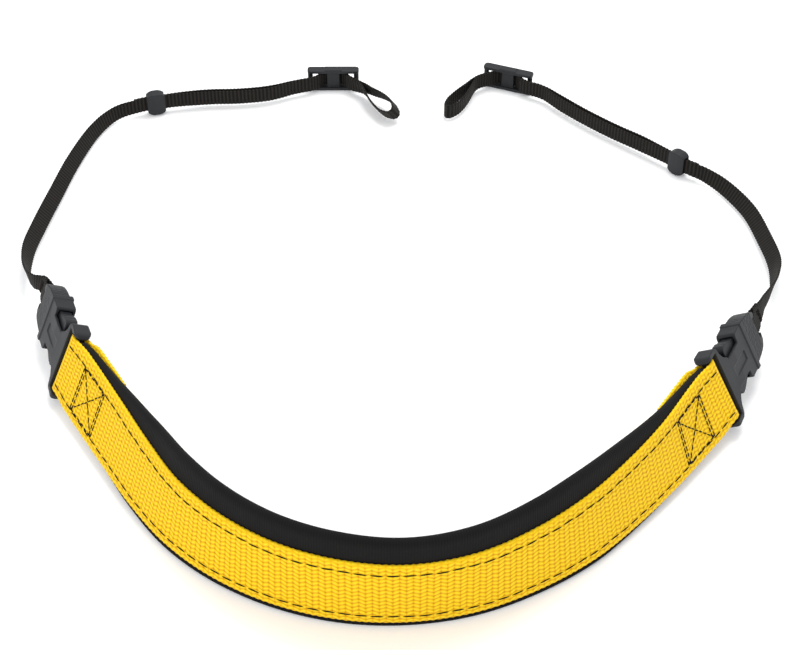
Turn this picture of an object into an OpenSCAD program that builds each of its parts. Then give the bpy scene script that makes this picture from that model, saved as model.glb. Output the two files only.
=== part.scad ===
// Padded neck strap: a wide webbing band on a neoprene pad, a side-release buckle at each end of it,
// and a thin adjustable webbing loop on each buckle. The strap stands on its long edge in a U.
// X runs to the right, Y away from the front of the U and Z up. The origin is at the middle of the
// bounding box, on the surface that the strap stands on.

/* [Pad] */
// Width of the wide webbing
band_w = 38; // [36:0.5:39]
// Thickness of the wide webbing
band_t = 1.6; // [1.2:0.1:1.8]
// Thickness of the neoprene
foam_t = 4.8; // [4:0.1:4.8]
// How far the neoprene stands above the webbing along the middle
brim_h = 13.2; // [5:0.5:20]
// How far the neoprene shows below the webbing along the middle
hem_h = 2.3; // [1:0.1:2.3]
// Length over which the neoprene narrows to the webbing at each end
taper_l = 135; // [60:5:140]

/* [Buckle] */
// Distance from the webbing bar to the outer edge of the lip
buckle_l = 42; // [41.5:0.5:46]
// Width of the housing over its flared end
flare_w = 42.5; // [42:0.5:46]
// Width of the housing over its lip
lip_w = 28.5; // [28:0.5:30]
// Thickness of the housing at its lip
lip_t = 11.6; // [11:0.2:13]
// Diameter of the bar that holds the wide webbing
bar_d = 4.4; // [3.6:0.1:4.6]

/* [Thin webbing] */
// Width of the thin webbing
thin_w = 10; // [9:0.1:10]
// Thickness of the thin webbing
thin_t = 1.2; // [0.8:0.1:1.2]
// Length of the sliding adjuster
glide_l = 34; // [32:0.5:36]
// Height of the keeper across the webbing
keeper_h = 14.8; // [14:0.2:16]

/* [Hidden] */
$fn = 48;

YELLOW = "#f2c511";
BLACK = "#232323";
PLASTIC = "#3f4246";
RIBBON = "#2f2c2a";

// The pad's route, left to right: x, y, height of the webbing's lower edge, lean of its top edge inwards
BAND_ROUTE = [
    [-178, -84.5, 6.5, 25], [-163, -108, 5.2, 25], [-147, -133, 4.4, 23.5], [-130, -159, 3.8, 21],
    [-110, -184, 3.2, 16], [-86, -204.6, 3.1, 11], [-58, -219.9, 2.9, 6], [-28, -228.5, 2.6, 2.5],
    [3, -230, 2.45, 0], [34, -224.5, 2.6, 2], [63, -211.8, 2.9, 6.5], [90, -194, 3.3, 11.5],
    [113, -172, 3.5, 15], [134, -149, 4.2, 19], [153, -126, 5.4, 25], [169, -107.5, 8, 30.5]
];
// Each thin webbing's route from just past its buckle: x, y, height of its centre line, lean.
// The right one is written as its mirror image, like everything on the right.
THIN_ROUTES = [
    [[-207.5, 4.5, 14, 8], [-213, 32, 10, 34], [-212, 61, 7, 42], [-208, 96, 5.5, 42],
     [-203, 130, 5.5, 38], [-195, 164, 5.5, 26], [-184, 184, 6.4, 10], [-169, 191.5, 7.8, 0],
     [-157, 195, 8, 0], [-143, 199, 7.8, 0], [-124, 202.5, 7.4, 0], [-105, 203.5, 7.4, 0],
     [-86, 207, 7.4, 0], [-69, 215, 7.4, 0], [-57, 222.5, 7.4, 0], [-45, 225, 7.4, 0],
     [-33, 223, 7.5, 0], [-25.5, 216, 7.8, -12], [-19, 204, 8.3, -26], [-11.5, 193, 8.4, -34], [-4.5, 182.5, 8.4, -38]],
    [[-205, -8, 14, 5], [-210, 7, 12, 25], [-213, 25, 9, 40], [-212, 49, 6.5, 42],
     [-208, 77, 5.5, 40], [-198, 101, 5.5, 28], [-187, 115, 6.4, 10], [-177, 121, 7.8, 0],
     [-164, 134, 8, 0], [-150, 148, 7.8, 0], [-136, 161, 7.4, 0], [-120, 177, 7.4, 0],
     [-106, 193, 7.4, 0], [-94, 208, 7.4, 0], [-82, 219, 7.4, 0], [-71, 225, 7.4, 0],
     [-60, 228, 7.4, 0], [-52, 223, 7.4, 0], [-45, 211, 7, 0], [-38, 199, 6.5, 0], [-31, 188, 6, 0]]
];
// Left and right: how far the buckle is swung inwards on its bar, and where things sit along the thin webbing
BUCKLE_SWING = [12, 15];
// Left and right: how far each end of the pad, with its buckle, is turned up (the right one is turned down)
END_TILT = [4, 5.5];
KEEPER_AT = [247, 193];
GLIDE_AT = [367, 334];
LOOP_HALF_GAP = [4.8, 4.2];

gap = 0.1;
step_count = 60;
tail_steps = 6;
end_pinch = 0.07;
tail_lift = 1.8;
fold_r = foam_t / 2 + gap;
body_x = 5.3;
window_x = [14.5, 29.5];
wall_in = 12.3;
prong_root = [39.9, 9.8];
male_bar_x = 60;
male_bar_r = 2;
thin_fold_r = male_bar_r + 0.15 + thin_t / 2;
layer = (thin_t + gap) / 2;
bar_half = 1.2;
glide_dip = bar_half + thin_t + gap + 0.35;

// ---- Curves -------------------------------------------------------------------------------------

function mix(a, b, t) = a + (b - a) * t;
function smooth(t) = let (c = min(1, max(0, t))) c * c * (3 - 2 * c);
// Catmull-Rom value between the second and third of four points
function crom(a, b, c, d, t) =
    0.5 * (2 * b + (c - a) * t + (2 * a - 5 * b + 4 * c - d) * t * t + (3 * b - a - 3 * c + d) * t * t * t);
function clampi(i, n) = min(n - 1, max(0, i));
function spline_at(p, u) =
    let (n = len(p), i = min(n - 2, floor(u)), t = u - i)
    crom(p[clampi(i - 1, n)], p[i], p[i + 1], p[clampi(i + 2, n)], t);
function xyz(q) = [q[0], q[1], q[2]];
// A route with its running length: rows of [length, x, y, height, lean]
function table(p, per = 8) =
    let (n = (len(p) - 1) * per, q = [for (i = [0:n]) spline_at(p, i / per)])
    [for (i = 0, s = 0; i <= n; s = s + (i < n ? norm(xyz(q[i + 1]) - xyz(q[i])) : 0), i = i + 1)
        [s, q[i][0], q[i][1], q[i][2], q[i][3]]];
function column(tab, k) = [for (r = tab) [r[0], r[k]]];
function columns(tab) = [for (k = [1:4]) column(tab, k)];
function span(tab) = tab[len(tab) - 1][0];
function row_at(cols, s) = [for (c = cols) lookup(s, c)];
// Point on a route, carried on straight beyond either end
function place(cols, l, s) =
    let (c = min(l, max(0, s)), a = row_at(cols, c),
         e = s < 0 ? xyz(row_at(cols, 2) - row_at(cols, 0)) : xyz(row_at(cols, l) - row_at(cols, l - 2)),
         over = s < 0 ? s : max(0, s - l))
    xyz(a) + (over == 0 ? [0, 0, 0] : over * e / norm(e));
function heading(cols, l, s) =
    let (d = place(cols, l, s + 1) - place(cols, l, s - 1)) atan2(d[1], d[0]);
// Frame on a route: across points up over the lean, out points away from the inside of the U
function out_of(h, lean) = [sin(h) * cos(lean), -cos(h) * cos(lean), sin(lean)];
function across_of(h, lean) = [-sin(h) * sin(lean), cos(h) * sin(lean), cos(lean)];
// Point at length s, height v across the webbing and w out from its inner face
function on_route(cols, l, s, v, w) =
    let (h = heading(cols, l, s), lean = row_at(cols, min(l, max(0, s)))[3])
    place(cols, l, s) + v * across_of(h, lean) + w * out_of(h, lean);
// Length at which the pad's crossways line through s meets height v, as its ends are cut at a slant
function slanted(l, s, v) =
    s + (v - band_w / 2) * (tan(END_TILT[0]) * (1 - smooth(s / 70)) - tan(END_TILT[1]) * (1 - smooth((l - s) / 70)));

// ---- Skins --------------------------------------------------------------------------------------

// Closed skin over rings of points
module loft(rings) {
    n = len(rings[0]);
    m = len(rings);
    polyhedron(
        points = [for (r = rings) each r],
        faces = concat(
            [[for (j = [0:n - 1]) j]],
            [for (i = [0:m - 2], j = [0:n - 1])
                let (a = i * n + j, b = i * n + (j + 1) % n) each [[a, a + n, b], [b, a + n, b + n]]],
            [[for (j = [n - 1:-1:0]) (m - 1) * n + j]]));
}

// Half a flat webbing's thickness points this way along a path of [s, w] pairs
function side_of(path, i) =
    let (a = path[max(0, i - 1)], b = path[min(len(path) - 1, i + 1)], d = (b - a) / norm(b - a))
    [-d[1], d[0]];

// ---- Pad ----------------------------------------------------------------------------------------

band_table = table(BAND_ROUTE);
band_cols = columns(band_table);
band_l = span(band_table);
band_step = band_l / step_count;

// The webbing is bunched a little where it goes round the buckle's bar
function pinched(l, s, v) =
    band_w / 2 + (v - band_w / 2) * (1 - end_pinch * (1 - smooth(min(s, l - s) / 16)));
function band_point(s, v, w) =
    on_route(band_cols, band_l, slanted(band_l, s, v), pinched(band_l, s, v), w);
function band_strip(path, t, v) =
    [for (i = [0:len(path) - 1])
        let (o = side_of(path, i) * t / 2, a = path[i] - o, b = path[i] + o, u = lift(path[i]))
        concat([for (h = v) band_point(b[0], h + u, b[1])],
               [for (k = [len(v) - 1:-1:0]) band_point(a[0], v[k] + u, a[1])])];
// The tails on the inside are sewn down a little high
function lift(p) = p[1] > fold_w ? 0 : tail_lift * smooth((min(p[0], band_l - p[0]) - 5) / 9);
function near_end(s) = smooth(min(s, band_l - s) / taper_l);
// Heights at which the webbing and the neoprene are both divided, so that they bend alike
rows = [12, 24, 35.5];

// Neoprene: grows a brim above the webbing, and a hem below it that swells out to the webbing's face
module neoprene_pad() {
    c = 1;
    inner = -foam_t - gap;
    color(BLACK)
        loft([for (k = [0:step_count])
            let (s = k == 0 ? fold_r + 2.5 : k == step_count ? band_l - fold_r - 2.5 : k * band_step,
                 n = near_end(s), top = band_w - 0.6 + brim_h * n, low = 0.6 - (hem_h + 0.6) * n,
                 hem = [[mix(low + c, -0.3, n), -gap], [mix(low + 0.75, -0.6, n), mix(-gap - 0.2, 0.9, n)],
                        [low + 0.4, mix(-0.5, 1.1, n)], [low, mix(-1.1, 0.3, n)]])
            [for (p = concat([[low, inner + c]], [for (v = concat([low + c], rows, [top - c])) [v, inner]],
                    [[top, inner + c], [top, -gap - c], [top - c, -gap]],
                    [for (i = [len(rows) - 1:-1:0]) [rows[i], -gap]], hem))
                band_point(s, p[0], p[1])]]);
}

// Half turn round a bar, as [s, w] pairs
function turn(s0, w0, r, from, to, n = 8) =
    [for (i = [1:n - 1]) let (a = mix(from, to, i / n)) [s0 + r * cos(a), w0 + r * sin(a)]];
fold_w = -foam_t / 2 - gap;
fold_mid_r = fold_r + band_t / 2;
band_path = concat(
    [for (k = [tail_steps:-1:1]) [k * band_step, fold_w - fold_mid_r]],
    [[0, fold_w - fold_mid_r]],
    turn(0, fold_w, fold_mid_r, -90, -270),
    [for (k = [0:step_count]) [k * band_step, fold_w + fold_mid_r]],
    turn(band_l, fold_w, fold_mid_r, 90, -90),
    [for (k = [0:tail_steps]) [band_l - k * band_step, fold_w - fold_mid_r]]);

module webbing_band() {
    color(YELLOW) loft(band_strip(band_path, band_t, concat([0], rows, [band_w])));
}

thread_t = 0.35;
thread_w = 0.6;
thread_out = fold_w + fold_mid_r + band_t / 2 + 0.12 + thread_t / 2;
edge_rows = [4.7, 31.6];

module edge_thread(v) {
    color(BLACK)
        loft(band_strip([for (k = [0:step_count]) [k * band_step, thread_out]],
            thread_t, [v - thread_w / 2, v + thread_w / 2]));
}

// One straight line of stitches on the band between two [s, v] points, stopping short of both
module stitch_line(a, b) {
    n = 4;
    d = (b - a) / norm(b - a);
    o = [-d[1], d[0]] * thread_w / 2;
    loft([for (i = [0:n])
        let (p = mix(a + 1.3 * d, b - 1.3 * d, i / n))
        [for (q = [[-1, 0], [1, 0], [1, 1], [-1, 1]])
            band_point(p[0] + q[0] * o[0], p[1] + q[0] * o[1],
                thread_out + 0.4 + (q[1] - 0.5) * thread_t)]]);
}

// Box with a cross and doubled ends, sewn through the folded webbing
module box_thread(from, to) {
    lo = edge_rows[0] + 1.4;
    hi = edge_rows[1] - 1.4;
    d = sign(to - from) * 1.8;
    color(BLACK) {
        stitch_line([from, lo], [from, hi]);
        stitch_line([from + d, lo], [from + d, hi]);
        stitch_line([to, lo], [to, hi]);
        stitch_line([to - d, lo], [to - d, hi]);
        stitch_line([from, hi], [to, hi]);
        stitch_line([from, lo], [to, lo]);
        for (s = [from + 2 * d, to - 2 * d], v = [lo, hi])
            stitch_line([s, v], [(from + to) / 2, (lo + hi) / 2]);
    }
}
box_span = [19, 43];

// ---- Buckle frames ------------------------------------------------------------------------------

// Left is side 0 and right is side 1. The right side is drawn at its mirror image and reflected.
function flip(side, p) = side == 0 ? p : [-p[0], p[1], p[2]];
function end_s(side) = side == 0 ? 0 : band_l;
function end_lean(side) = row_at(band_cols, end_s(side))[3];
function end_heading(side) =
    side == 0 ? heading(band_cols, band_l, 0) + 180 : 180 - heading(band_cols, band_l, band_l);
function bar_pos(side) = flip(side, band_point(end_s(side), band_w / 2, fold_w));
function turned(side, p) =
    let (h = end_heading(side), b = end_lean(side), t = -END_TILT[side], a = -BUCKLE_SWING[side],
         o = [p[0] * cos(a) - p[1] * sin(a), p[0] * sin(a) + p[1] * cos(a), p[2]],
         q = [o[0] * cos(t) + o[2] * sin(t), o[1], o[2] * cos(t) - o[0] * sin(t)],
         r = [q[0], q[1] * cos(b) - q[2] * sin(b), q[1] * sin(b) + q[2] * cos(b)])
    [r[0] * cos(h) - r[1] * sin(h), r[0] * sin(h) + r[1] * cos(h), r[2]];
function buckle_point(side, p) = bar_pos(side) + turned(side, p);

module sided(side) {
    if (side == 0) children();
    else mirror([1, 0, 0]) children();
}

// In a buckle's own frame X runs from the pad to the thin webbing, Y faces outwards, Z is its width
module in_buckle(side) {
    sided(side)
        translate(bar_pos(side))
            rotate([0, 0, end_heading(side)])
                rotate([end_lean(side), 0, 0])
                    rotate([0, -END_TILT[side], 0])
                        rotate([0, 0, -BUCKLE_SWING[side]])
                            children();
}

// ---- Buckle parts -------------------------------------------------------------------------------

// Solid whose outline in X and Z is half, given for Z above 0, and which is thick from -t to t
module plan(half, t) {
    rotate([90, 0, 0])
        translate([0, 0, -t])
            linear_extrude(2 * t)
                polygon(concat(half, [for (i = [len(half) - 1:-1:0]) [half[i][0], -half[i][1]]]));
}
// Solid whose outline in X and Y is half, given for Y above 0, and which is wide from -w to w
module profile(half, w) {
    translate([0, 0, -w])
        linear_extrude(2 * w)
            polygon(concat(half, [for (i = [len(half) - 1:-1:0]) [half[i][0], -half[i][1]]]));
}
function arc(cx, cy, r, from, to, n = 10) =
    [for (i = [0:n]) let (a = mix(from, to, i / n)) [cx + r * cos(a), cy + r * sin(a)]];

flare_h = flare_w / 2;
lip_h = lip_w / 2;
slot_h = band_w * (1 - end_pinch) / 2 + 1;
housing_plan = concat(
    arc(-1.5, flare_h - 3.5, 3.5, 180, 90, 5),
    arc(4.6, flare_h - 3.5, 3.5, 90, 20, 5),
    arc(18.5, flare_h - 1.6, 10.4, 200, 270),
    [[window_x[1] - 1.5, flare_h - 11.9]],
    arc(window_x[1] + 2, lip_h - 2.2, 1.8, 180, 90, 5),
    [[buckle_l - 3.5, lip_h - 0.4], [buckle_l - 3.5, lip_h], [buckle_l, lip_h]]);
housing_side = concat(
    arc(-0.5, 0, 4.6, 180, 100, 6),
    [[5, 4.3], [13, 4.6], [22, 5.2], [buckle_l - 3.6, 5.3], [buckle_l - 3.3, lip_t / 2], [buckle_l, lip_t / 2]]);

// Female half: a flared end with the webbing bar, open sides for the prongs and a lipped mouth
module buckle_housing() {
    color(PLASTIC) {
        difference() {
            intersection() {
                plan(housing_plan, lip_t);
                profile(housing_side, flare_w);
            }
            // slot that the wide webbing goes through, round the bar
            translate([-8, -lip_t, -slot_h]) cube([8 + body_x, 2 * lip_t, 2 * slot_h]);
            // cavity for the male half, and the two side windows
            translate([12.5, -3.7, -wall_in]) cube([buckle_l, 7.4, 2 * wall_in]);
            for (m = [0, 1]) mirror([0, 0, m])
                translate([window_x[0], -lip_t, 8.8])
                    cube([window_x[1] - window_x[0], 2 * lip_t, 10]);
            // shallow plain panel on the outer face
            translate([16, 4.7, -3.2]) cube([16.4, 2, 5.5]);
        }
        translate([0, 0, -slot_h - 0.5]) cylinder(d = bar_d, h = 2 * slot_h + 1);
    }
}

male_h = 12.8;
male_end = male_bar_x + 3.3;
male_plan = [for (a = [90:-7.8:12])
    [buckle_l + 0.4 + (male_end - buckle_l) * cos(a), male_h * pow(sin(a), 0.75)]];
male_side = [[buckle_l + 0.4, 4.8], [male_end - 8, 4.8], [male_end - 4, 4.2], [male_end - 1, 3], [male_end + 1, 2]];

// Male half: a rounded grip with the bar for the thin webbing, and a guide blade between the prongs
module buckle_male() {
    slot = thin_w / 2 + 0.8;
    clear = thin_fold_r + thin_t / 2 + 0.6;
    color(PLASTIC) {
        difference() {
            intersection() {
                plan(male_plan, 6);
                profile(male_side, male_h + 1);
            }
            translate([male_bar_x - clear, -8, -slot]) cube([clear + 8, 16, 2 * slot]);
        }
        translate([male_bar_x, 0, -slot - 0.5]) cylinder(r = male_bar_r, h = 2 * slot + 1);
        translate([17.5, -3, -1.9]) cube([buckle_l - 16.5, 6, 3.8]);
        translate([prong_root[0] + 2.1, -3, -wall_in + 0.6]) cube([1.6, 6, 2 * wall_in - 1.2]);
    }
}

// Sprung prong with its barb, above or below the guide blade
prong_outline = concat(
    arc(prong_root[0], prong_root[1], 1.8, -90, 90, 8),
    [[28.6, 11.7], [20.9, 14.5]],
    arc(18.6, 11.6, 3.1, 62, 180, 7),
    [[15.7, 8.6], [17.4, 7.4], [27, 8]]);
module prong(up) {
    color(PLASTIC)
        mirror([0, 0, up ? 0 : 1])
            rotate([90, 0, 0])
                translate([0, 0, -3.2])
                    linear_extrude(6.4)
                        polygon(prong_outline);
}

// ---- Thin webbing -------------------------------------------------------------------------------

function thin_route(side) =
    let (b = end_lean(side))
    concat([concat(buckle_point(side, [male_bar_x, 0, 0]), -b),
            concat(buckle_point(side, [male_bar_x + 9, 0, 0]), 4 - b)], THIN_ROUTES[side]);
thin_tables = [for (side = [0, 1]) table(thin_route(side))];
thin_cols = [for (t = thin_tables) columns(t)];
thin_ls = [for (t = thin_tables) span(t)];

// Point on the thin webbing, which starts square to the bar of the male half and then follows its route
function thin_point(side, s, v, w) =
    let (k = smooth((s - 5) / 20),
         a = k == 1 ? [0, 0, 0] : buckle_point(side, [male_bar_x + s, -w, v]),
         b = on_route(thin_cols[side], thin_ls[side], s, v, w))
    mix(a, b, k);
function thin_rings(side, path, t, v0, v1) =
    [for (i = [0:len(path) - 1])
        let (o = side_of(path, i) * t / 2, a = path[i] - o, b = path[i] + o)
        [for (q = [[a, v0], [b, v0], [b, v1], [a, v1]]) thin_point(side, q[0][0], q[1], q[0][1])]];
// Along the thin webbing w runs towards the inside of the U.
// The webbing passes on the outside of the adjuster's middle bar and on the inside of its end bars
function dip(d) = lookup(abs(d), [[0, 1], [4.6, 0.97], [6.2, 0.72], [11.2, -0.78], [12.8, -0.98],
    [15.5, -1], [18, -0.95], [24, -0.3], [30, 0]]);
// Half distance between the two runs of webbing, which part a little between keeper and adjuster
function loop_half(side, e) = let (g = LOOP_HALF_GAP[side])
    lookup(e, [[0, g * 0.55], [3, g * 0.85], [7, g], [13, g], [20, g * 0.8], [28, g * 0.45], [36, layer]]);
function spread(side, s) =
    max(loop_half(side, thin_ls[side] - s), layer + lookup(s, [[KEEPER_AT[side] + 9, 0],
        [KEEPER_AT[side] + 28, 0.8], [GLIDE_AT[side] - 46, 0.8], [GLIDE_AT[side] - 28, 0]]));
function run_w(side, s, way) = way * spread(side, s) - glide_dip * dip(s - GLIDE_AT[side]);
thin_ring = 5.5;
function tail_end(side) = KEEPER_AT[side] - 14;
function run(side, from, to, way) =
    let (n = ceil(abs(to - from) / thin_ring))
    [for (i = [0:n]) let (s = mix(from, to, i / n)) [s, run_w(side, s, way)]];
function fine(side, from, to, way) =
    let (n = ceil(abs(to - from) / 2))
    [for (i = [0:n]) let (s = mix(from, to, i / n)) [s, run_w(side, s, way)]];
function thin_path(side) =
    let (g = GLIDE_AT[side], l = thin_ls[side], r = LOOP_HALF_GAP[side] * 0.55)
    concat(
        [[17, layer], [11, layer + 0.1], [6, thin_fold_r * 0.72]],
        turn(0, 0, thin_fold_r, 75, 285, 10),
        [[6, -thin_fold_r * 0.72], [11, -layer - 0.1]],
        [[19, -layer * 0.4]],
        run(side, 27, g - 31, 1),
        fine(side, g - 29, g + 17, 1),
        run(side, g + 20, l - 1, 1),
        turn(l - 1, 0, r, 90, -90, 6),
        run(side, l - 1, g + 20, -1),
        fine(side, g + 17, g - 29, -1),
        run(side, g - 31, tail_end(side), -1));

module thin_webbing(side) {
    color(RIBBON)
        sided(side)
            loft(thin_rings(side, thin_path(side), thin_t, -thin_w / 2, thin_w / 2));
}

// A part drawn along X on the thin webbing at length s, with Y facing outwards
module on_thin(side, s) {
    sided(side)
        translate(place(thin_cols[side], thin_ls[side], s))
            rotate([0, 0, heading(thin_cols[side], thin_ls[side], s)])
                children();
}

// Bar tack that closes the fold round the male half's bar
module fold_tack(side) {
    color(BLACK)
        sided(side)
            for (v = [-3, 0, 3])
                loft(thin_rings(side,
                    [for (s = [8.5:1:11.5]) [s, -thin_fold_r * 0.4 - layer - thin_t / 2]], 0.3, v - 0.5, v + 0.5));
}

// Sliding adjuster: two rails, two end bars and a wide middle bar
module tri_glide() {
    half = thin_w / 2 + 0.3;
    rail = 2;
    end = glide_l / 2;
    color(PLASTIC) {
        for (m = [0, 1]) mirror([0, 0, m])
            translate([0, 0, half])
                linear_extrude(rail)
                    polygon(concat(
                        arc(end - 2, 1.6, 2, 0, 90, 4), arc(-end + 2, 1.6, 2, 90, 180, 4),
                        arc(-end + 2, -0.9, 2, 180, 270, 4), arc(end - 2, -0.9, 2, 270, 360, 4)));
        translate([-4.2, -bar_half, -half - 0.2]) cube([8.4, 2 * bar_half, 2 * half + 0.4]);
        for (x = [1.8 - end, end - 1.8])
            translate([x, 0, -half - 0.2])
                linear_extrude(2 * half + 0.4)
                    polygon(concat(arc(0.5, 0, bar_half, -90, 90, 6), arc(-0.5, 0, bar_half, 90, 270, 6)));
        translate([-5.5, -2.5, half + rail - 0.2]) cube([11, 5, 1]);
    }
}

// Keeper: a rounded sleeve round both runs of the thin webbing
keeper_l = 11.6;
keeper_t = 7;
module keeper() {
    z = keeper_h / 2;
    e = keeper_l / 2;
    color(PLASTIC)
        difference() {
            intersection() {
                plan([[-e, z - 1.7], [-e + 1.2, z - 0.8], [-e + 3.2, z - 0.1], [-2, z], [2, z],
                      [e - 3.2, z - 0.1], [e - 1.2, z - 0.8], [e, z - 1.7]], keeper_t);
                profile([[-e, 2.7], [-e + 2, 3.3], [-1.5, 3.5], [1.5, 3.5], [e - 2, 3.3], [e, 2.7]], z + 1);
            }
            translate([-keeper_l, -1.9, -thin_w / 2 - 0.5]) cube([2 * keeper_l, 3.8, thin_w + 1]);
        }
}

// ---- Nodes --------------------------------------------------------------------------------------

neoprene_pad();
webbing_band();
edge_thread(edge_rows[1]);  // upper_edge_thread
edge_thread(edge_rows[0]);  // lower_edge_thread
box_thread(box_span[0], box_span[1]);  // left_box_thread
box_thread(band_l - box_span[0], band_l - box_span[1]);  // right_box_thread

in_buckle(0) buckle_housing();  // left_buckle_housing
in_buckle(0) buckle_male();  // left_buckle_male
in_buckle(0) prong(true);  // left_upper_prong
in_buckle(0) prong(false);  // left_lower_prong
thin_webbing(0);  // left_thin_webbing
fold_tack(0);  // left_fold_tack
on_thin(0, GLIDE_AT[0]) tri_glide();  // left_tri_glide
on_thin(0, KEEPER_AT[0]) keeper();  // left_keeper

in_buckle(1) buckle_housing();  // right_buckle_housing
in_buckle(1) buckle_male();  // right_buckle_male
in_buckle(1) prong(true);  // right_upper_prong
in_buckle(1) prong(false);  // right_lower_prong
thin_webbing(1);  // right_thin_webbing
fold_tack(1);  // right_fold_tack
on_thin(1, GLIDE_AT[1]) tri_glide();  // right_tri_glide
on_thin(1, KEEPER_AT[1]) keeper();  // right_keeper
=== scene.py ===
# %% [markdown]
# A padded neck strap: wide yellow webbing sewn to a black neoprene pad, a side-release buckle at
# each end, and a thin ribbed webbing with a keeper and a sliding adjuster on each buckle.
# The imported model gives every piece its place. Here the soft goods are built again with their
# weave and stitches, and the moulded pieces get the rounded edges that a mould leaves.

# %% Load the frame
import math
import random

import bmesh
import bpy
import numpy as np
from mathutils import Matrix, Vector


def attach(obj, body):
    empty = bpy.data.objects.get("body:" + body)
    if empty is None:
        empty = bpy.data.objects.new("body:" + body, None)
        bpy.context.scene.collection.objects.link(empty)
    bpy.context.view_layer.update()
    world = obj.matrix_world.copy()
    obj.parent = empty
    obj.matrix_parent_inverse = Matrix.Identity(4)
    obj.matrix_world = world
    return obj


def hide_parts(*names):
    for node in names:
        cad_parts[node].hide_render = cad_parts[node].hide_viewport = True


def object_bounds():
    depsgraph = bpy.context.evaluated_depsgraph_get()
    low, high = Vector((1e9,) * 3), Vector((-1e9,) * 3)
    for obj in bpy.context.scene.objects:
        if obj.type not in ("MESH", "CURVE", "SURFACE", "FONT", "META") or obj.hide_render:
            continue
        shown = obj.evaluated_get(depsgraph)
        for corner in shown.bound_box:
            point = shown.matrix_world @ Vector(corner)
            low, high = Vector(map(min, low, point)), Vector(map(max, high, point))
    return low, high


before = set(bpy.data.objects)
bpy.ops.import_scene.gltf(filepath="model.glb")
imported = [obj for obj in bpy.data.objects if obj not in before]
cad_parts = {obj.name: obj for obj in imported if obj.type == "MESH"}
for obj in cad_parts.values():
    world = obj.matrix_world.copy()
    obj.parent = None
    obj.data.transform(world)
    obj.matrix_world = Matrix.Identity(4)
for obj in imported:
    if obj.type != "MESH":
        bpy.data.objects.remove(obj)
cad_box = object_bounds()
MM = 0.001
print("CAD box", cad_box)

# %% [markdown]
# A strap that stands on its edge is seen best from about 40 degrees up, from the padded side.
# The view is a long lens from under a metre away, so that the two loops at the back look smaller.

# %% Camera
camera_data = bpy.data.cameras.new("camera")
camera_data.lens = 72
camera_data.sensor_width = 36
camera = bpy.data.objects.new("camera", camera_data)
bpy.context.scene.collection.objects.link(camera)
camera.location = (0, -0.695, 0.5657)
camera.rotation_euler = (math.radians(50), 0, 0)
bpy.context.scene.camera = camera

# %% [markdown]
# Materials are written as real things with real sizes. Colours are given as sRGB hex values, which
# is how they are read off a swatch, and Blender wants linear light, so one function converts them.
# One more function adds a shader node, sets it and links it.

# %% Colour and node helpers
def linear(hex_colour):
    channels = [int(hex_colour[i:i + 2], 16) / 255 for i in (1, 3, 5)]
    return [c / 12.92 if c <= 0.04045 else ((c + 0.055) / 1.055) ** 2.4 for c in channels] + [1]


def add(tree, kind, settings=None, **links):
    """Adds a node, sets its properties, and fills each named or numbered (_0, _1) input."""
    node = tree.nodes.new(kind)
    for key, value in (settings or {}).items():
        setattr(node, key, value)
    for key, value in links.items():
        socket = node.inputs[int(key[1:])] if key[1:].isdigit() else node.inputs[key.replace("_", " ")]
        if isinstance(value, bpy.types.NodeSocket):
            tree.links.new(value, socket)
        else:
            socket.default_value = value
    return node


def new_material(name, **values):
    material = bpy.data.materials.new(name)
    material.use_nodes = True
    shader = material.node_tree.nodes["Principled BSDF"]
    for key, value in values.items():
        shader.inputs[key.replace("_", " ")].default_value = value
    return material, material.node_tree, shader


# %% [markdown]
# Everything sewn follows one of three routes: the pad's curve, and the two thin webbings. A route
# is a handful of points, each with a lean, joined by a Catmull-Rom curve. On a route a place has
# three numbers: how far along (s), how far up across the webbing (v), and how far out of it (w).

# %% Routes
PAD_ROUTE = [
    (-178, -84.5, 6.5, 25), (-163, -108, 5.2, 25), (-147, -133, 4.4, 23.5), (-130, -159, 3.8, 21),
    (-110, -184, 3.2, 16), (-86, -204.6, 3.1, 11), (-58, -219.9, 2.9, 6), (-28, -228.5, 2.6, 2.5),
    (3, -230, 2.45, 0), (34, -224.5, 2.6, 2), (63, -211.8, 2.9, 6.5), (90, -194, 3.3, 11.5),
    (113, -172, 3.5, 15), (134, -149, 4.2, 19), (153, -126, 5.4, 25), (169, -107.5, 8, 30.5),
]
THIN_ROUTES = [
    [(-207.5, 4.5, 14, 8), (-213, 32, 10, 34), (-212, 61, 7, 42), (-208, 96, 5.5, 42),
     (-203, 130, 5.5, 38), (-195, 164, 5.5, 26), (-184, 184, 6.4, 10), (-169, 191.5, 7.8, 0),
     (-157, 195, 8, 0), (-143, 199, 7.8, 0), (-124, 202.5, 7.4, 0), (-105, 203.5, 7.4, 0),
     (-86, 207, 7.4, 0), (-69, 215, 7.4, 0), (-57, 222.5, 7.4, 0), (-45, 225, 7.4, 0),
     (-33, 223, 7.5, 0), (-25.5, 216, 7.8, -12), (-19, 204, 8.3, -26), (-11.5, 193, 8.4, -34),
     (-4.5, 182.5, 8.4, -38)],
    [(-205, -8, 14, 5), (-210, 7, 12, 25), (-213, 25, 9, 40), (-212, 49, 6.5, 42),
     (-208, 77, 5.5, 40), (-198, 101, 5.5, 28), (-187, 115, 6.4, 10), (-177, 121, 7.8, 0),
     (-164, 134, 8, 0), (-150, 148, 7.8, 0), (-136, 161, 7.4, 0), (-120, 177, 7.4, 0),
     (-106, 193, 7.4, 0), (-94, 208, 7.4, 0), (-82, 219, 7.4, 0), (-71, 225, 7.4, 0),
     (-60, 228, 7.4, 0), (-52, 223, 7.4, 0), (-45, 211, 7, 0), (-38, 199, 6.5, 0), (-31, 188, 6, 0)],
]
BUCKLE_SWING = [12, 15]
END_TILT = [4, 5.5]
KEEPER_AT = [247, 193]
GLIDE_AT = [367, 334]
LOOP_HALF_GAP = [4.8, 4.2]
BAND_W, BAND_T, FOAM_T = 38, 1.6, 4.8
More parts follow.
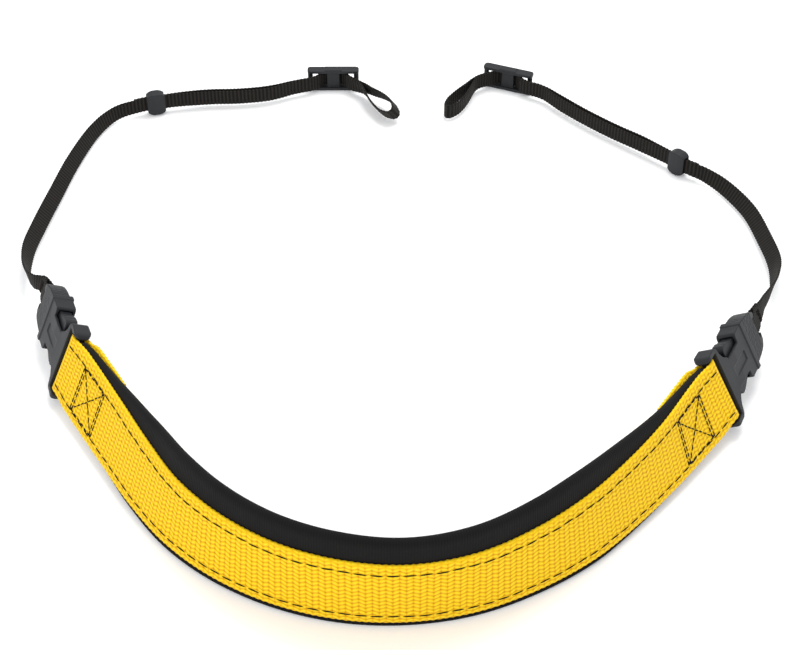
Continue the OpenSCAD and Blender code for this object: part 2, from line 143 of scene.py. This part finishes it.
BRIM_H, HEM_H, TAPER_L = 13.2, 2.3, 135
THIN_W, THIN_T = 10, 1.2
MALE_BAR_X, MALE_BAR_R = 60, 2.15
GLIDE_BAR_HALF, GLIDE_SLACK = 1.2, 0.35
GAP = 0.1
END_PINCH, TAIL_LIFT = 0.07, 1.8


def smooth(t):
    c = min(1, max(0, t))
    return c * c * (3 - 2 * c)


def curve_at(points, t):
    """Catmull-Rom value at t, where a whole number is one of the points."""
    n = len(points)
    i = min(n - 2, int(t))
    a, b, c, d = (np.array(points[min(n - 1, max(0, i + k))], float) for k in (-1, 0, 1, 2))
    f = t - i
    return 0.5 * (2 * b + (c - a) * f + (2 * a - 5 * b + 4 * c - d) * f * f
                  + (3 * b - a - 3 * c + d) * f ** 3)


class Route:
    """A curve with its running length, and a frame at each place along it."""

    def __init__(self, points, per=8):
        n = (len(points) - 1) * per
        self.rows = np.array([curve_at(points, k / per) for k in range(n + 1)])
        steps = np.linalg.norm(np.diff(self.rows[:, :3], axis=0), axis=1)
        self.s = np.concatenate([[0], np.cumsum(steps)])
        self.length = self.s[-1]

    def row(self, s):
        return np.array([np.interp(s, self.s, self.rows[:, k]) for k in range(4)])

    def place(self, s):
        l = self.length
        p = self.row(min(l, max(0, s)))[:3]
        if 0 <= s <= l:
            return p
        e = (self.row(2) - self.row(0))[:3] if s < 0 else (self.row(l) - self.row(l - 2))[:3]
        return p + (s if s < 0 else s - l) * e / np.linalg.norm(e)

    def heading(self, s):
        d = self.place(s + 1) - self.place(s - 1)
        return math.atan2(d[1], d[0])

    def out(self, s):
        h, lean = self.heading(s), math.radians(self.row(min(self.length, max(0, s)))[3])
        return np.array([math.sin(h) * math.cos(lean), -math.cos(h) * math.cos(lean), math.sin(lean)])

    def across(self, s):
        h, lean = self.heading(s), math.radians(self.row(min(self.length, max(0, s)))[3])
        return np.array([-math.sin(h) * math.sin(lean), math.cos(h) * math.sin(lean), math.cos(lean)])

    def at(self, s, v, w):
        return self.place(s) + v * self.across(s) + w * self.out(s)


pad_route = Route(PAD_ROUTE)
PAD_L = pad_route.length


def slanted(s, v):
    """The pad's ends are cut at a slant, so the line across it at s meets height v a little off s."""
    left = math.tan(math.radians(END_TILT[0])) * (1 - smooth(s / 70))
    right = math.tan(math.radians(END_TILT[1])) * (1 - smooth((PAD_L - s) / 70))
    return s + (v - BAND_W / 2) * (left - right)


def pinched(s, v):
    """The webbing is bunched a little where it goes round a buckle's bar."""
    return BAND_W / 2 + (v - BAND_W / 2) * (1 - END_PINCH * (1 - smooth(min(s, PAD_L - s) / 16)))


def on_pad(s, v, w):
    return pad_route.at(slanted(s, v), pinched(s, v), w)


print("pad curve", round(PAD_L, 1), "mm")

# %% [markdown]
# The buckles hang on the pad's two ends. Their frame is the pad's end frame, tilted and swung on
# the webbing bar. The right side is worked out as its own mirror image and reflected at the end,
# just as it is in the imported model, so both thin webbings start from the same few numbers.

# %% Buckle frames and the thin webbings' routes
FOLD_W = -FOAM_T / 2 - GAP
FOLD_R = FOAM_T / 2 + GAP + BAND_T / 2


def buckle_matrix(side):
    s = 0 if side == 0 else PAD_L
    bar = on_pad(s, BAND_W / 2, FOLD_W)
    lean = math.radians(pad_route.row(s)[3])
    heading = pad_route.heading(0) + math.pi if side == 0 else math.pi - pad_route.heading(PAD_L)
    if side == 1:
        bar[0] = -bar[0]
    return (Matrix.Translation(bar) @ Matrix.Rotation(heading, 4, "Z") @ Matrix.Rotation(lean, 4, "X")
            @ Matrix.Rotation(-math.radians(END_TILT[side]), 4, "Y")
            @ Matrix.Rotation(-math.radians(BUCKLE_SWING[side]), 4, "Z"))


def thin_route(side):
    lean = pad_route.row(0 if side == 0 else PAD_L)[3]
    frame_here = buckle_matrix(side)
    first = [(*(frame_here @ Vector((MALE_BAR_X, 0, 0))), -lean),
             (*(frame_here @ Vector((MALE_BAR_X + 9, 0, 0))), 4 - lean)]
    return Route(first + THIN_ROUTES[side])


thin_routes = [thin_route(0), thin_route(1)]


def on_webbing(side, s, v, w):
    """A place on a thin webbing, which starts square to the male half's bar."""
    k = smooth((s - 5) / 20)
    point = thin_routes[side].at(s, v, w)
    if k < 1:
        point = point * k + np.array(buckle_matrix(side) @ Vector((MALE_BAR_X + s, -w, v))) * (1 - k)
    return (point[0] if side == 0 else -point[0], point[1], point[2])


print("thin webbing routes", [round(r.length, 1) for r in thin_routes], "mm")

# %% [markdown]
# Webbing is woven flat and then bent, so its path is drawn in s and w only, and one loft carries a
# flat section along it. The pad webbing turns round each buckle bar and lies back on itself.
# The thin webbing goes round the male half's bar, through the keeper, behind the middle bar of the
# adjuster, round the loop, and back the same way to its loose tail.

# %% Webbing paths
def turn(s0, w0, r, start, end, n):
    angles = [math.radians(start + (end - start) * i / n) for i in range(1, n)]
    return [(s0 + r * math.cos(a), w0 + r * math.sin(a)) for a in angles]


STEPS = 60
TAIL_STEPS = 6
STEP = PAD_L / STEPS
band_path = (
    [(k * STEP, FOLD_W - FOLD_R) for k in range(TAIL_STEPS, -1, -1)] + turn(0, FOLD_W, FOLD_R, -90, -270, 8)
    + [(k * STEP, FOLD_W + FOLD_R) for k in range(STEPS + 1)] + turn(PAD_L, FOLD_W, FOLD_R, 90, -90, 8)
    + [(PAD_L - k * STEP, FOLD_W - FOLD_R) for k in range(TAIL_STEPS + 1)])

LAYER = (THIN_T + GAP) / 2
THIN_FOLD_R = MALE_BAR_R + THIN_T / 2
GLIDE_DIP = GLIDE_BAR_HALF + THIN_T + GAP + GLIDE_SLACK
DIP = ([0, 4.6, 6.2, 11.2, 12.8, 15.5, 18, 24, 30], [1, 0.97, 0.72, -0.78, -0.98, -1, -0.95, -0.3, 0])


def thin_w(side, s, way):
    """Where one run of the thin webbing lies at s: the two runs part in the loop and before it."""
    g, k, e = GLIDE_AT[side], KEEPER_AT[side], thin_routes[side].length - s
    half = LOOP_HALF_GAP[side]
    loop = np.interp(e, [0, 3, 7, 13, 20, 28, 36],
                     [half * 0.55, half * 0.85, half, half, half * 0.8, half * 0.45, LAYER])
    slack = LAYER + np.interp(s, [k + 9, k + 28, g - 46, g - 28], [0, 0.8, 0.8, 0])
    return way * max(loop, slack) - GLIDE_DIP * np.interp(abs(s - g), *DIP)


def run(side, start, end, way, step):
    n = math.ceil(abs(end - start) / step)
    return [(s, thin_w(side, s, way)) for s in (start + (end - start) * i / n for i in range(n + 1))]


def thin_path(side):
    g, l, r = GLIDE_AT[side], thin_routes[side].length, LOOP_HALF_GAP[side] * 0.55
    return ([(17, LAYER), (11, LAYER + 0.1), (6, THIN_FOLD_R * 0.72)]
            + turn(0, 0, THIN_FOLD_R, 75, 285, 10)
            + [(6, -THIN_FOLD_R * 0.72), (11, -LAYER - 0.1), (19, -LAYER * 0.4)]
            + run(side, 27, g - 31, 1, 5.5) + run(side, g - 29, g + 17, 1, 2)
            + run(side, g + 20, l - 1, 1, 5.5) + turn(l - 1, 0, r, 90, -90, 6)
            + run(side, l - 1, g + 20, -1, 5.5) + run(side, g + 17, g - 29, -1, 2)
            + run(side, g - 31, KEEPER_AT[side] - 14, -1, 5.5))


def finer(path, step):
    """The same path on a smooth curve, with points every step millimetres, and its running length."""
    dense = np.array([curve_at(path, t / 8) for t in range(8 * (len(path) - 1) + 1)])
    run_length = np.concatenate([[0], np.cumsum(np.linalg.norm(np.diff(dense, axis=0), axis=1))])
    n = round(run_length[-1] / step)
    at = np.linspace(0, run_length[-1], n + 1)
    points = np.stack([np.interp(at, run_length, dense[:, k]) for k in (0, 1)], 1)
    sides = np.gradient(points, axis=0)
    sides = np.stack([-sides[:, 1], sides[:, 0]], 1) / np.linalg.norm(sides, axis=1)[:, None]
    return at, points, sides


# %% [markdown]
# One loft makes every soft piece. It starts as bmesh's flat grid: one side of the grid becomes the
# length, the other is wrapped round the section. The seam is merged and the two ends are closed.
# Each point also keeps its place on the cloth in millimetres, along and across, in an attribute
# called "cloth", so that the weave follows every bend without a seam.

# %% Loft
def loft(name, rings, around, place):
    """place(i, k) gives a point in millimetres and its (along, across, face) cloth place."""
    bm = bmesh.new()
    bmesh.ops.create_grid(bm, x_segments=rings - 1, y_segments=around, size=0.5)
    cloth = bm.verts.layers.float_vector.new("cloth")
    ends = []
    for vert in bm.verts:
        i = round((vert.co.x + 0.5) * (rings - 1))
        k = round((vert.co.y + 0.5) * around) % around
        point, where = place(i, k)
        vert.co = Vector(point) * MM
        vert[cloth] = where
        if i in (0, rings - 1):
            ends.append(vert)
    bmesh.ops.remove_doubles(bm, verts=bm.verts, dist=1e-6)
    bmesh.ops.holes_fill(bm, edges=[e for e in bm.edges if e.is_boundary], sides=0)
    bmesh.ops.recalc_face_normals(bm, faces=bm.faces)
    mesh = bpy.data.meshes.new(name)
    bm.to_mesh(mesh)
    bm.free()
    mesh.shade_smooth()
    piece = bpy.data.objects.new(name, mesh)
    bpy.context.scene.collection.objects.link(piece)
    print(name, len(mesh.polygons), "faces")
    return piece


def section(width, thick, steps, edge):
    """Points (v, w, face) round a flat section with rounded edges, up the front and down the back."""
    front = [edge + (width - 2 * edge) * i / steps for i in range(steps + 1)]
    return ([(0, 0, 0), (edge * 0.3, thick * 0.36, 1)] + [(v, thick / 2, 1) for v in front]
            + [(width - edge * 0.3, thick * 0.36, 1), (width, 0, 0), (width - edge * 0.3, -thick * 0.36, -1)]
            + [(v, -thick / 2, -1) for v in reversed(front)] + [(edge * 0.3, -thick * 0.36, -1)])


def finish_piece(piece, body, slot, material, *nodes):
    piece.data.materials.clear()
    piece.data.materials.append(material)
    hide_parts(*nodes)
    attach(piece, body)
    return piece


# %% [markdown]
# The pad webbing is 38 mm polypropylene in a herringbone: columns about 3 mm wide run across it,
# and the yarns in each slant against those beside it. The outline of the selvedge is scalloped by
# the same 3 mm. The scallops are in the mesh, and the yarns, which are under a millimetre thick,
# are bump and colour from the cloth place. Their colour holds painted shade: it darkens to
# orange-brown in the valleys between the yarns.

# %% Yellow webbing material
SCALLOP = 3.0
YARN = 2.4


def weave_nodes(tree, column, yarn, slant):
    """Height from 0 to 1 of a herringbone with the given column width and yarn pitch."""
    place = add(tree, "ShaderNodeAttribute", {"attribute_name": "cloth"}).outputs["Vector"]
    parts = add(tree, "ShaderNodeSeparateXYZ", _0=place)
    across = add(tree, "ShaderNodeMath", {"operation": "DIVIDE"}, _0=parts.outputs[0], _1=column)
    inside = add(tree, "ShaderNodeMath", {"operation": "FRACT"}, _0=across.outputs[0])
    centred = add(tree, "ShaderNodeMath", {"operation": "SUBTRACT"}, _0=inside.outputs[0], _1=0.5)
    even = add(tree, "ShaderNodeMath", {"operation": "PINGPONG"}, _0=across.outputs[0], _1=1.0)
    zigzag = add(tree, "ShaderNodeMath", {"operation": "MULTIPLY"}, _0=even.outputs[0], _1=slant)
    wobble = add(tree, "ShaderNodeTexNoise", _0=place, Scale=0.12, Detail=1.0)
    turns = add(tree, "ShaderNodeMath", {"operation": "DIVIDE"}, _0=parts.outputs[1], _1=yarn)
    bent = add(tree, "ShaderNodeMath", {"operation": "MULTIPLY_ADD"}, _0=wobble.outputs[0], _1=0.5,
               _2=turns.outputs[0])
    phase = add(tree, "ShaderNodeMath", {"operation": "ADD"}, _0=bent.outputs[0], _1=zigzag.outputs[0])
    angle = add(tree, "ShaderNodeMath", {"operation": "MULTIPLY"}, _0=phase.outputs[0], _1=math.tau)
    wave = add(tree, "ShaderNodeMath", {"operation": "SINE"}, _0=angle.outputs[0])
    knuckle = add(tree, "ShaderNodeMath", {"operation": "MULTIPLY_ADD"}, _0=wave.outputs[0], _1=0.5, _2=0.5)
    around = add(tree, "ShaderNodeMath", {"operation": "MULTIPLY"}, _0=centred.outputs[0], _1=2.5)
    crown = add(tree, "ShaderNodeMath", {"operation": "COSINE"}, _0=around.outputs[0])
    both = add(tree, "ShaderNodeMath", {"operation": "MULTIPLY_ADD"}, _0=knuckle.outputs[0],
               _1=0.75, _2=0.25)
    height = add(tree, "ShaderNodeMath", {"operation": "MULTIPLY"}, _0=both.outputs[0],
                 _1=crown.outputs[0])
    # the selvedge is packed tighter, so its yarns stand out less
    from_edge = add(tree, "ShaderNodeMath", {"operation": "PINGPONG"}, _0=parts.outputs[1], _1=BAND_W / 2)
    woven = add(tree, "ShaderNodeMapRange", _0=from_edge.outputs[0], _1=0.8, _2=3.2, _3=0.55, _4=1.0)
    packed = add(tree, "ShaderNodeMix", {"data_type": "FLOAT"}, _0=woven.outputs[0], _2=0.5,
                 _3=height.outputs[0])
    return place, packed.outputs[0]


# Polypropylene webbing, woven from thick multifilament yarn: bright, slightly waxy, deep valleys
yellow, tree, shader = new_material("woven polypropylene webbing", Roughness=0.7, Sheen_Weight=0.03,
                                    Sheen_Roughness=0.4, Specular_IOR_Level=0.15)
place, height = weave_nodes(tree, SCALLOP, YARN, 0.5)
# painted shade: the ramp darkens the weave's valleys to orange-brown and keeps the yarn crowns bright yellow
painted_valley_shade = add(tree, "ShaderNodeValToRGB", _0=height)
painted_valley_shade.color_ramp.elements[0].position = 0.08
painted_valley_shade.color_ramp.elements[0].color = linear("#c48400")
painted_valley_shade.color_ramp.elements[1].position = 0.75
painted_valley_shade.color_ramp.elements[1].color = linear("#f8d520")
middle = painted_valley_shade.color_ramp.elements.new(0.35)
middle.color = linear("#ecba0c")
dye = add(tree, "ShaderNodeTexNoise", _0=place, Scale=0.35, Detail=3.0)
dye_mix = add(tree, "ShaderNodeMix", {"data_type": "RGBA", "blend_type": "OVERLAY"}, _0=0.06,
              _6=painted_valley_shade.outputs[0], _7=dye.outputs[0])
fibre = add(tree, "ShaderNodeTexNoise", _0=place, Scale=3.0, Detail=2.0)
relief = add(tree, "ShaderNodeMath", {"operation": "MULTIPLY_ADD"}, _0=fibre.outputs[0], _1=0.12, _2=height)
bump = add(tree, "ShaderNodeBump", Strength=0.9, Distance=0.0006, Height=relief.outputs[0])
tree.links.new(dye_mix.outputs[2], shader.inputs["Base Color"])
tree.links.new(bump.outputs[0], shader.inputs["Normal"])

# %% Pad webbing
at, path, sides = finer(band_path, 0.6)
ring = section(BAND_W, BAND_T, 18, 0.7)


def place_on_band(i, k):
    v, w, face = ring[k]
    wave = 0.5 - 0.5 * math.cos(math.tau * at[i] / SCALLOP)
    near_edge = 1 - smooth(min(v, BAND_W - v) / 1.6)
    v = v + (0.45 * wave * near_edge if v < BAND_W / 2 else -0.45 * wave * near_edge)
    bead = 0.15 * math.exp(-((min(v, BAND_W - v) - 1.9) / 1.2) ** 2) if face > 0 else 0
    s, out = path[i] + sides[i] * (w + bead)
    tail = TAIL_LIFT * smooth((min(s, PAD_L - s) - 5) / 9) if out < FOLD_W else 0
    return on_pad(s, v + tail, out), (at[i], v, face)


band = loft("pad_webbing", len(at), len(ring), place_on_band)
finish_piece(band, "pad", "webbing", yellow, "webbing_band")

# %% [markdown]
# The pad is 5 mm neoprene, a foamed rubber with a knitted jersey bonded to its face. It is cut from
# sheet, so it keeps one thickness and its edges are only a little rounded. It stands up to 13 mm
# above the webbing along the middle of the pad, and narrows to nothing at both ends.
# The jersey shows as very fine ribs across the pad with a dull, soft sheen, with painted shade darkening the
# grooves between them.

# %% Neoprene material
jersey, tree, shader = new_material("jersey faced neoprene", Roughness=0.9, Sheen_Weight=0.03,
                                    Sheen_Roughness=0.5, Specular_IOR_Level=0.1)
place = add(tree, "ShaderNodeAttribute", {"attribute_name": "cloth"}).outputs["Vector"]
# The real knit has 0.5 mm wales. They are drawn at 1.3 mm, the finest that still shows.
wales = add(tree, "ShaderNodeTexWave", {"wave_type": "BANDS", "bands_direction": "X"}, _0=place,
            Scale=0.24, Distortion=0.6, Detail=1.0)
cloud = add(tree, "ShaderNodeTexNoise", _0=place, Scale=0.05, Detail=4.0)
tone = add(tree, "ShaderNodeValToRGB", _0=cloud.outputs[0])
tone.color_ramp.elements[0].color = linear("#141415")
tone.color_ramp.elements[1].color = linear("#1c1c1d")
# painted shade: the colour darkens by up to a fifth in the grooves between the wales, matching the bump
ribs = add(tree, "ShaderNodeMix", {"data_type": "RGBA", "blend_type": "MULTIPLY"}, _0=0.22,
           _6=tone.outputs[0], _7=wales.outputs[0])
bump = add(tree, "ShaderNodeBump", Strength=0.35, Distance=0.0002, Height=wales.outputs[0])
tree.links.new(ribs.outputs[2], shader.inputs["Base Color"])
tree.links.new(bump.outputs[0], shader.inputs["Normal"])

# %% Neoprene pad
pad_at = np.linspace(FOAM_T / 2 + GAP + 2.5, PAD_L - FOAM_T / 2 - GAP - 2.5, 380)
foam_ring = section(1, 1, 26, 0.02)


def place_on_foam(i, k):
    s = pad_at[i]
    v, w, face = foam_ring[k]
    near_end = smooth(min(s, PAD_L - s) / TAPER_L)
    low = 0.6 - (HEM_H + 0.6) * near_end
    top = BAND_W - 0.6 + BRIM_H * near_end
    # the brim and the hem grow from the pad's two ends, where the webbing covers the foam
    # the points crowd together towards the hem, and the foam is pinched where it is sewn
    height = low + (top - low) * v ** 1.6
    pinch = 0.35 * math.exp(-((height - 32) / 2.5) ** 2) if face < 0 else 0
    # the hem below the webbing swells out beside its edge
    swell = 1.1 * near_end * smooth((-0.3 - height) / 0.4) if face > 0 else 0
    return on_pad(s, height, FOLD_W + w * FOAM_T + pinch + swell), (s, height, face)


pad = loft("neoprene", len(pad_at), len(foam_ring), place_on_foam)
finish_piece(pad, "pad", "neoprene", jersey, "neoprene_pad")

# %% [markdown]
# The webbing is sewn to the pad with a dark bonded thread, in long lockstitches that sink into the
# weave at both ends. Each stitch is one small stretched ball, half sunk in the cloth. Hand-fed
# seams are never quite straight, so each stitch is turned by a degree or two.

# %% Thread material
thread, tree, shader = new_material("bonded polyester thread", Roughness=0.7, Specular_IOR_Level=0.15)
place = add(tree, "ShaderNodeTexCoord").outputs["Object"]
twist = add(tree, "ShaderNodeTexWave", {"bands_direction": "DIAGONAL"}, _0=place, Scale=900.0)
tone = add(tree, "ShaderNodeValToRGB", _0=twist.outputs[0])
tone.color_ramp.elements[0].color = linear("#0d0803")
tone.color_ramp.elements[1].color = linear("#1d1206")
tree.links.new(tone.outputs[0], shader.inputs["Base Color"])

# %% Stitches
hand = random.Random(7)
ON_CLOTH = FOLD_W + FOLD_R + BAND_T / 2


def sew(name, lines, pitch, length, place, thick=0.38):
    """Stitches along straight lines between (s, v) points, laid on the cloth by place(s, v)."""
    bm = bmesh.new()
    for start, end in lines:
        start, end = np.array(start, float), np.array(end, float)
        whole = np.linalg.norm(end - start)
        count = max(1, round(whole / pitch))
        step = (end - start) / count
        for n in range(count):
            middle = start + step * (n + 0.5) + np.array([0, hand.uniform(-0.22, 0.22)])
            half = step / np.linalg.norm(step) * length / 2
            half = half + np.array([-half[1], half[0]]) * hand.uniform(-0.06, 0.06)
            a, b, c = (Vector(place(*p)) for p in (middle - half, middle, middle + half))
            up = Vector(place(middle[0], middle[1], 1.0)) - b
            along = (c - a).normalized()
            across = up.cross(along).normalized()
            turn_to = Matrix((along, across, along.cross(across))).transposed().to_4x4()
            ball = bmesh.ops.create_uvsphere(bm, u_segments=8, v_segments=6, radius=1)
            size = Matrix.Diagonal((length / 2, thick, thick * 0.8, 1))
            bmesh.ops.transform(bm, verts=ball["verts"],
                                matrix=Matrix.Scale(MM, 4) @ Matrix.Translation(b) @ turn_to @ size)
    mesh = bpy.data.meshes.new(name)
    bm.to_mesh(mesh)
    bm.free()
    mesh.shade_smooth()
    piece = bpy.data.objects.new(name, mesh)
    bpy.context.scene.collection.objects.link(piece)
    print(name, len(mesh.polygons), "faces")
    return piece


def on_face(s, v, lift=0.0):
    return on_pad(s, v, ON_CLOTH + 0.12 + lift)


EDGE_ROWS = (4.7, 31.6)
for name, v in (("lower_edge_thread", EDGE_ROWS[0]), ("upper_edge_thread", EDGE_ROWS[1])):
    pieces = 64
    lines = [((-1 + (PAD_L + 2) * i / pieces, v), (-1 + (PAD_L + 2) * (i + 1) / pieces, v))
             for i in range(pieces)]
    finish_piece(sew(name + "_stitches", lines, 7.2, 6.1, on_face), "pad", "thread", thread, name)


def box_lines(near, far):
    """A box with doubled ends and a cross, as straight runs between (s, v) corners."""
    lo, hi = EDGE_ROWS[0] + 0.2, EDGE_ROWS[1] - 0.2
    d = math.copysign(1.7, far - near)
    return [((near, lo), (near, hi)), ((near + d, lo), (near + d, hi)), ((far, lo), (far, hi)),
            ((far - d, lo), (far - d, hi)), ((near, hi), (far, lo)), ((near, lo), (far, hi)),
            ((near, lo + 0.5), (far, lo + 0.5)), ((near, hi - 0.5), (far, hi - 0.5))]


for name, ends in (("left_box_thread", (19, 43)), ("right_box_thread", (PAD_L - 19, PAD_L - 43))):
    finish_piece(sew(name + "_stitches", box_lines(*ends), 3.7, 3.3, on_face), "pad", "thread", thread, name)

# %% [markdown]
# The thin webbing is 10 mm and ribbed: a stiff weft makes a rib across it every 2.4 mm, and the
# ribs end in small bumps along both selvedges. The ribs are real thickness in the mesh, because
# they show in outline. The weave between them is bump. It is the looser nylon kind, so it is
# brown-black with a soft sheen. Its colour holds painted shade, darker in the grooves between the
# ribs and between the yarns, and lighter on the rib crests.

# %% Ribbed webbing material
RIB = 2.4
ribbon, tree, shader = new_material("ribbed nylon webbing", Roughness=0.75, Sheen_Weight=0.04,
                                    Sheen_Roughness=0.4, Specular_IOR_Level=0.15)
place = add(tree, "ShaderNodeAttribute", {"attribute_name": "cloth"}).outputs["Vector"]
parts = add(tree, "ShaderNodeSeparateXYZ", _0=place)
turns = add(tree, "ShaderNodeMath", {"operation": "MULTIPLY"}, _0=parts.outputs[0], _1=math.tau / RIB)
rib = add(tree, "ShaderNodeMath", {"operation": "COSINE"}, _0=turns.outputs[0])
rib_groove_shade = add(tree, "ShaderNodeMath", {"operation": "MULTIPLY_ADD"}, _0=rib.outputs[0], _1=-0.5, _2=0.5)
# painted shade: the colour is darkest in the grooves between the ribs and lightest on their crests
tone = add(tree, "ShaderNodeValToRGB", _0=rib_groove_shade.outputs[0])
tone.color_ramp.elements[0].color = linear("#0e0d0c")
tone.color_ramp.elements[0].position = 0.15
tone.color_ramp.elements[1].color = linear("#2a2622")
yarns = add(tree, "ShaderNodeTexWave", {"bands_direction": "Y"}, _0=place, Scale=0.5, Distortion=1.0)
# painted shade: the colour also darkens between the yarns, where the bump sinks
mixed = add(tree, "ShaderNodeMix", {"data_type": "RGBA", "blend_type": "MULTIPLY"}, _0=0.25,
            _6=tone.outputs[0], _7=yarns.outputs[0])
bump = add(tree, "ShaderNodeBump", Strength=0.5, Distance=0.0003, Height=yarns.outputs[0])
tree.links.new(mixed.outputs[2], shader.inputs["Base Color"])
tree.links.new(bump.outputs[0], shader.inputs["Normal"])

# %% Thin webbing
thin_ring = section(THIN_W, THIN_T, 6, 0.5)


def thin_webbing(side, name):
    along, points, normals = finer(thin_path(side), 0.4)

    def place_on_thin(i, k):
        v, w, face = thin_ring[k]
        rib_here = 0.5 - 0.5 * math.cos(math.tau * along[i] / RIB)
        w = w * (0.72 + 0.28 * rib_here)
        edge_in = 0.28 * (1 - rib_here) * (1 - smooth(min(v, THIN_W - v) / 1.2))
        v = v - THIN_W / 2 + (edge_in if v < THIN_W / 2 else -edge_in)
        s, out = points[i] + normals[i] * w
        return on_webbing(side, s, v, out), (along[i], v, face)

    return loft(name, len(along), len(thin_ring), place_on_thin)


for side, hand_name in enumerate(("left", "right")):
    strap = thin_webbing(side, hand_name + "_ribbed_webbing")
    finish_piece(strap, hand_name + "_strap", "ribbon", ribbon, hand_name + "_thin_webbing")


def on_thin(side):
    def place(s, v, lift=0.0):
        return on_webbing(side, s, v, -THIN_FOLD_R * 0.4 - LAYER - THIN_T / 2 - 0.05 - lift)
    return place


for side, hand_name in enumerate(("left", "right")):
    rows = [((s, -3.6), (s, 3.6)) for s in (8.6, 9.4, 10.2, 11.0)]
    tack = sew(hand_name + "_tack_stitches", rows, 1.2, 1.3, on_thin(side), 0.28)
    finish_piece(tack, hand_name + "_strap", "thread", thread, hand_name + "_fold_tack")

# %% [markdown]
# The buckles, keepers and adjusters are acetal, moulded in a spark-eroded tool that leaves a satin
# face, with every edge rounded by a few tenths of a millimetre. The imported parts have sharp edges,
# so a copy of each is rebuilt as a fine even skin and relaxed, which rounds all of its edges alike.

# %% Moulded plastic material
def moulded(name, dark, light, grain, pits):
    material, tree, shader = new_material(name, Roughness=0.5, IOR=1.48, Specular_IOR_Level=0.28)
    place = add(tree, "ShaderNodeTexCoord").outputs["Object"]
    cloud = add(tree, "ShaderNodeTexNoise", _0=place, Scale=60.0, Detail=4.0)
    tone = add(tree, "ShaderNodeValToRGB", _0=cloud.outputs[0])
    tone.color_ramp.elements[0].color = linear(dark)
    tone.color_ramp.elements[1].color = linear(light)
    fine = add(tree, "ShaderNodeTexNoise", _0=place, Scale=grain, Detail=2.0)
    gloss = add(tree, "ShaderNodeMapRange", _0=cloud.outputs[0], _3=0.42, _4=0.58)
    bump = add(tree, "ShaderNodeBump", Strength=0.25, Distance=0.0001, Height=fine.outputs[0])
    if pits:
        dimple = add(tree, "ShaderNodeTexVoronoi", _0=place, Scale=pits)
        bump = add(tree, "ShaderNodeBump", Strength=0.6, Distance=0.0003, Height=dimple.outputs[0],
                   Normal=bump.outputs[0])
    tree.links.new(tone.outputs[0], shader.inputs["Base Color"])
    tree.links.new(gloss.outputs[0], shader.inputs["Roughness"])
    tree.links.new(bump.outputs[0], shader.inputs["Normal"])
    return material


satin = moulded("satin moulded acetal", "#1a1b1e", "#25272a", 2500.0, 0)
pitted = moulded("pitted moulded acetal", "#161719", "#202225", 2500.0, 700.0)


# %% Softened moulded parts
def softened(node, voxel, relax):
    """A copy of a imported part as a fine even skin, with its edges relaxed."""
    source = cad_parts[node]
    bm = bmesh.new()
    bm.from_mesh(source.data)
    bmesh.ops.transform(bm, verts=bm.verts, matrix=source.matrix_world)
    bmesh.ops.remove_doubles(bm, verts=bm.verts, dist=1e-6)
    mesh = bpy.data.meshes.new(node + "_moulded")
    bm.to_mesh(mesh)
    bm.free()
    piece = bpy.data.objects.new(node + "_moulded", mesh)
    bpy.context.scene.collection.objects.link(piece)
    skin = piece.modifiers.new("skin", "REMESH")
    skin.mode = "VOXEL"
    skin.voxel_size = voxel * MM
    skin.use_smooth_shade = True
    ease = piece.modifiers.new("ease", "SMOOTH")
    ease.factor = 0.5
    ease.iterations = relax
    return piece


for hand_name in ("left", "right"):
    for part, body, finish in (("buckle_housing", "housing", satin), ("buckle_male", "strap", pitted),
                               ("upper_prong", "upper_prong", satin), ("lower_prong", "lower_prong", satin),
                               ("tri_glide", "strap", satin), ("keeper", "keeper", satin)):
        node = f"{hand_name}_{part}"
        piece = softened(node, 0.3, 4)
        finish_piece(piece, f"{hand_name}_{body}", "plastic", finish, node)

# %% [markdown]
# The strap stands on a white sweep under a large soft light from behind and above, so its shadows
# are short, soft and fall towards the viewer. A weak light from the front keeps the black parts
# readable.

# %% Floor and lights
floor_data = bpy.data.meshes.new("floor")
bm = bmesh.new()
bmesh.ops.create_grid(bm, x_segments=1, y_segments=1, size=4)
bm.to_mesh(floor_data)
bm.free()
floor = bpy.data.objects.new("floor", floor_data)
floor.location.z = cad_box[0][2] - 0.0002
bpy.context.scene.collection.objects.link(floor)
paper, tree, shader = new_material("white paper sweep", Roughness=0.9, Specular_IOR_Level=0.1)
shader.inputs["Base Color"].default_value = linear("#fbfbfb")
shader.inputs["Emission Color"].default_value = linear("#f4f8ff")
shader.inputs["Emission Strength"].default_value = 0.12
floor_data.materials.append(paper)

world = bpy.data.worlds.new("studio")
world.use_nodes = True
world.node_tree.nodes["Background"].inputs[0].default_value = (1, 1, 1, 1)
world.node_tree.nodes["Background"].inputs[1].default_value = 0.85
bpy.context.scene.world = world
bpy.context.scene.view_settings.view_transform = "Standard"


def area_light(name, place, aim, size, power):
    data = bpy.data.lights.new(name, "AREA")
    data.shape = "DISK"
    data.size = size
    data.energy = power
    light = bpy.data.objects.new(name, data)
    light.location = place
    light.rotation_euler = (Vector(aim) - Vector(place)).to_track_quat("-Z", "Y").to_euler()
    bpy.context.scene.collection.objects.link(light)


area_light("sky", (0.2, 0.6, 1.5), (0, 0, 0), 0.9, 14)
area_light("front", (-0.7, -1.2, 0.9), (0, -0.1, 0), 0.8, 6)
